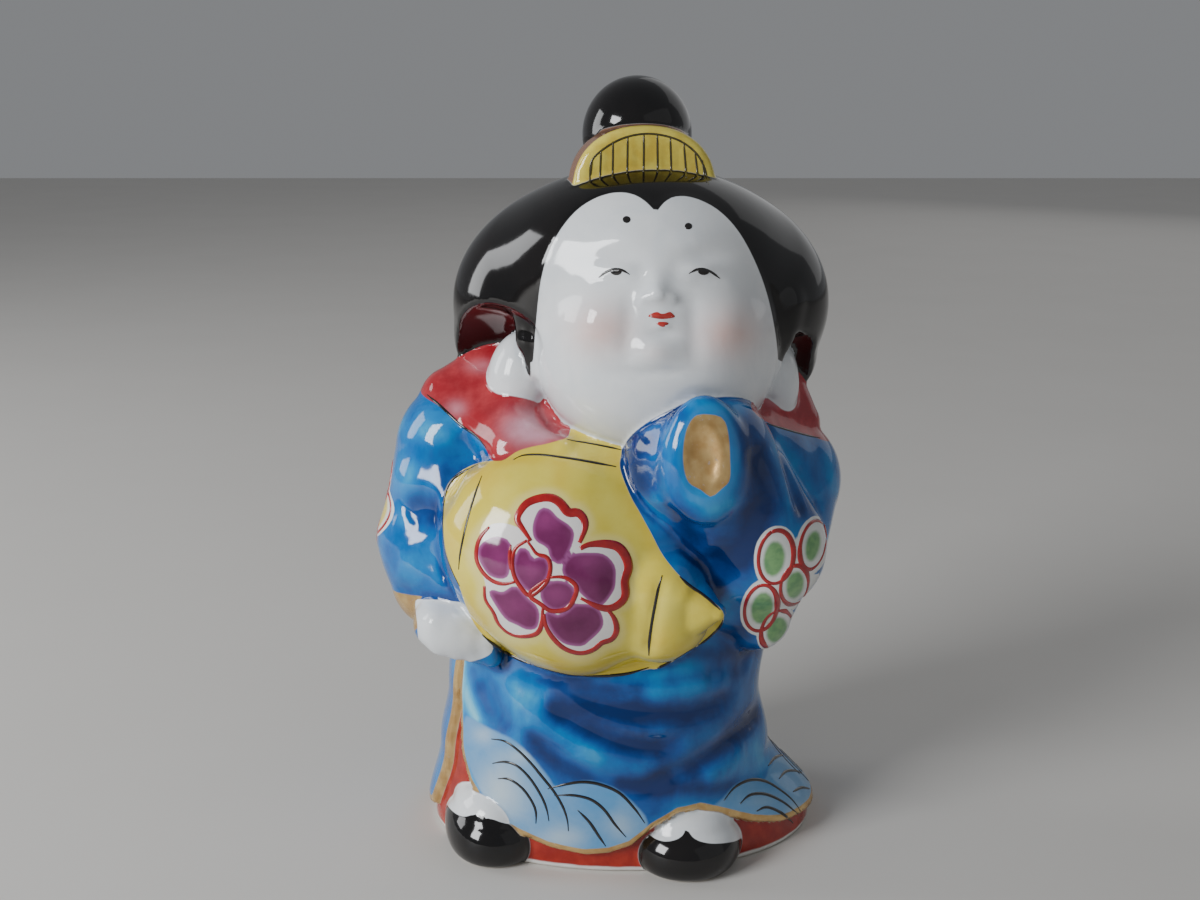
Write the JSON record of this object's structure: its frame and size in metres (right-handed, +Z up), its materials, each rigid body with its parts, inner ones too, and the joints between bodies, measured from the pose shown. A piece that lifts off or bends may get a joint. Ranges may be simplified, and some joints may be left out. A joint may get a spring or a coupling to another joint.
{
  "type": "porcelain figure of a standing woman",
  "caption": "Glazed porcelain figure of a round-cheeked woman in a blue kimono, one sleeve raised to her chin, with a yellow sash bundle, on a flat underside.",
  "frame": {"origin": "on the flat underside, below the middle of the skirt's foot", "axes": "+Z up through the bun, -Y towards the viewer (the face and the sash bundle), +X towards the raised sleeve"},
  "size_m": [0.0728, 0.0511, 0.1199],
  "materials": {
    "glazed_porcelain": "high-gloss clear glaze over white porcelain, painted in overglaze enamels (cobalt blue, yellow, red, purple, green, black) with gold lines"
  },
  "bodies": {
    "root": {"figure": "glazed_porcelain"}
  },
  "joints": []
}
